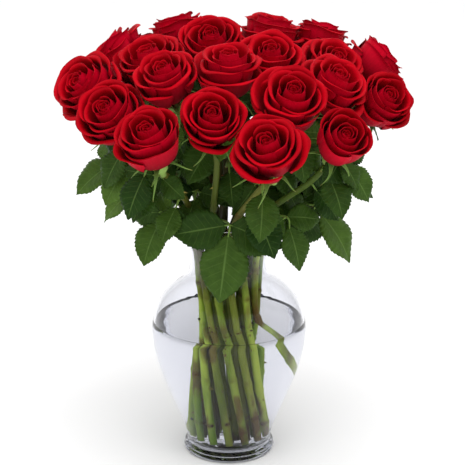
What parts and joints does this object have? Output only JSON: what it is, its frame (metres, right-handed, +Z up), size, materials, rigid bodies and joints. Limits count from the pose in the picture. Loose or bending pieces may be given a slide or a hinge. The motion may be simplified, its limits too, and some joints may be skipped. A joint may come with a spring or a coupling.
{
  "type": "roses in a vase",
  "caption": "Bunch of red roses with leaves and stems standing in a clear glass ginger vase part-filled with water.",
  "frame": {"origin": "centre of the vase's flat foot, on the surface it stands on", "axes": "+Z up along the vase's axis, and the arrangement's front faces -Y"},
  "size_m": [0.3165, 0.3022, 0.4146],
  "materials": {
    "glass": "clear polished glass",
    "water": "clear still water",
    "stem": "satin green bark",
    "petal": "velvet petals",
    "leaf": "satin leaf"
  },
  "bodies": {
    "root": {"vase": "glass", "water": "water", "stem_01": "stem", "stem_02": "stem", "stem_03": "stem", "stem_04": "stem", "stem_05": "stem", "stem_06": "stem", "stem_07": "stem", "stem_08": "stem", "stem_09": "stem", "stem_10": "stem", "stem_11": "stem", "stem_12": "stem", "stem_13": "stem", "stem_14": "stem", "stem_15": "stem", "stem_16": "stem", "stem_17": "stem", "stem_18": "stem", "stem_19": "stem", "stem_20": "stem", "stem_21": "stem", "stem_22": "stem", "stem_23": "stem", "stem_24": "stem", "bloom_01": "petal", "bloom_02": "petal", "bloom_03": "petal", "bloom_04": "petal", "bloom_05": "petal", "bloom_06": "petal", "bloom_07": "petal", "bloom_08": "petal", "bloom_09": "petal", "bloom_10": "petal", "bloom_11": "petal", "bloom_12": "petal", "bloom_13": "petal", "bloom_14": "petal", "bloom_15": "petal", "bloom_16": "petal", "bloom_17": "petal", "bloom_18": "petal", "bloom_19": "petal", "bloom_20": "petal", "bloom_21": "petal", "bloom_22": "petal", "bloom_23": "petal", "bloom_24": "petal", "leaf_01": "leaf", "leaf_02": "leaf", "leaf_03": "leaf", "leaf_04": "leaf", "leaf_05": "leaf", "leaf_06": "leaf", "leaf_07": "leaf", "leaf_08": "leaf", "leaf_09": "leaf", "leaf_10": "leaf"}
  },
  "joints": []
}
